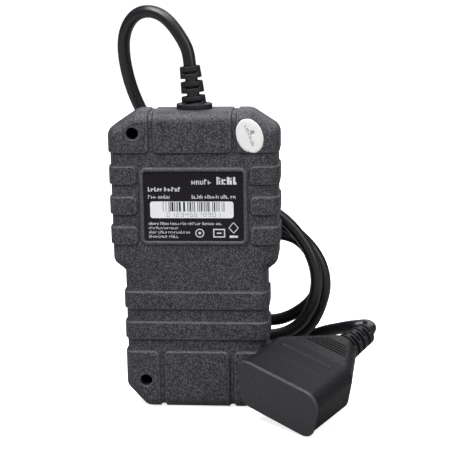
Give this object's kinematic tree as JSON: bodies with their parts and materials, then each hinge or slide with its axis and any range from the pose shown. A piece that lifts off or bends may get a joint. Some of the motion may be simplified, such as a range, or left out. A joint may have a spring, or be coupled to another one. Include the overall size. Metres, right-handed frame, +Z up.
{
  "type": "automotive diagnostic code reader",
  "caption": "Handheld diagnostic code reader with ribbed black case, LCD, rubber keys and a captive coiled cable ending in a capped D-shaped diagnostic plug.",
  "frame": {"origin": "centre of the handset's foot, on the plane where the two shells meet", "axes": "+Z up along the handset towards its cable, +Y out of the display and keys, -Y out of the ribbed rear with the rating label, +X to the side where the plug lies"},
  "size_m": [0.1035, 0.0784, 0.1574],
  "materials": {
    "back_cover": "matte",
    "front_cover": "matte",
    "rating_label": "gloss",
    "serial_sticker": "satin",
    "seal_sticker": "satin",
    "case_screws": "satin",
    "front_lens": "gloss",
    "lens_gasket": "matte",
    "lcd_frame": "matte",
    "lcd_glass": "gloss",
    "lcd_backlight": "satin",
    "lcd_ribbon": "satin",
    "ribbon_socket": "matte",
    "main_board": "satin",
    "board_screws": "satin",
    "processor_chip": "matte",
    "transceiver_chips": "matte",
    "memory_chip": "matte",
    "crystal": "satin",
    "capacitors": "satin",
    "buzzer": "matte",
    "cable_header": "matte",
    "snap_domes": "satin",
    "keypad_sheet": "matte",
    "key_ok": "satin",
    "key_back": "satin",
    "key_up": "satin",
    "key_down": "satin",
    "key_left": "satin",
    "key_right": "satin",
    "key_help": "satin",
    "cable_boot": "matte",
    "cable": "satin",
    "cable_clamp": "matte",
    "clamp_screws": "satin",
    "cable_plug": "matte",
    "handset_wires": "satin",
    "plug_shroud_shell": "satin",
    "pin_carrier": "matte",
    "contact_pins": "gloss",
    "plug_backshell": "satin",
    "plug_wires": "satin",
    "plug_boot": "matte",
    "plug_dust_cap": "satin"
  },
  "bodies": {
    "handset": {"back_cover": "back_cover", "front_cover": "front_cover", "rating_label": "rating_label", "serial_sticker": "serial_sticker", "seal_sticker": "seal_sticker", "case_screws": "case_screws", "front_lens": "front_lens", "lens_gasket": "lens_gasket", "lcd_frame": "lcd_frame", "lcd_glass": "lcd_glass", "lcd_backlight": "lcd_backlight", "lcd_ribbon": "lcd_ribbon", "ribbon_socket": "ribbon_socket", "main_board": "main_board", "board_screws": "board_screws", "processor_chip": "processor_chip", "transceiver_chips": "transceiver_chips", "memory_chip": "memory_chip", "crystal": "crystal", "capacitors": "capacitors", "buzzer": "buzzer", "cable_header": "cable_header", "snap_domes": "snap_domes", "keypad_sheet": "keypad_sheet", "cable_boot": "cable_boot", "cable": "cable", "cable_clamp": "cable_clamp", "clamp_screws": "clamp_screws", "cable_plug": "cable_plug", "handset_wires": "handset_wires", "plug_shroud_shell": "plug_shroud_shell", "pin_carrier": "pin_carrier", "contact_pins": "contact_pins", "plug_backshell": "plug_backshell", "plug_wires": "plug_wires", "plug_boot": "plug_boot"},
    "key_ok": {"key_ok": "key_ok"},
    "key_up": {"key_up": "key_up"},
    "key_down": {"key_down": "key_down"},
    "key_left": {"key_left": "key_left"},
    "key_right": {"key_right": "key_right"},
    "key_back": {"key_back": "key_back"},
    "key_help": {"key_help": "key_help"},
    "plug_dust_cap": {"plug_dust_cap": "plug_dust_cap"}
  },
  "joints": [
    {"name": "key_ok_press", "type": "slide", "parent": "handset", "child": "key_ok", "axis": [0, -1, 0], "range_m": [0, 0.0007], "stiffness_N_per_m": 8},
    {"name": "key_up_press", "type": "slide", "parent": "handset", "child": "key_up", "axis": [0, -1, 0], "range_m": [0, 0.0007], "stiffness_N_per_m": 8},
    {"name": "key_down_press", "type": "slide", "parent": "handset", "child": "key_down", "axis": [0, -1, 0], "range_m": [0, 0.0007], "stiffness_N_per_m": 8},
    {"name": "key_left_press", "type": "slide", "parent": "handset", "child": "key_left", "axis": [0, -1, 0], "range_m": [0, 0.0007], "stiffness_N_per_m": 8},
    {"name": "key_right_press", "type": "slide", "parent": "handset", "child": "key_right", "axis": [0, -1, 0], "range_m": [0, 0.0007], "stiffness_N_per_m": 8},
    {"name": "key_back_press", "type": "slide", "parent": "handset", "child": "key_back", "axis": [0, -1, 0], "range_m": [0, 0.0007], "stiffness_N_per_m": 8},
    {"name": "key_help_press", "type": "slide", "parent": "handset", "child": "key_help", "axis": [0, -1, 0], "range_m": [0, 0.0007], "stiffness_N_per_m": 8},
    {"name": "dust_cap_slide", "type": "slide", "parent": "handset", "child": "plug_dust_cap", "axis": [-0.601, -0.764, -0.2348], "range_m": [0, 0.015], "stiffness_N_per_m": 15}
  ]
}
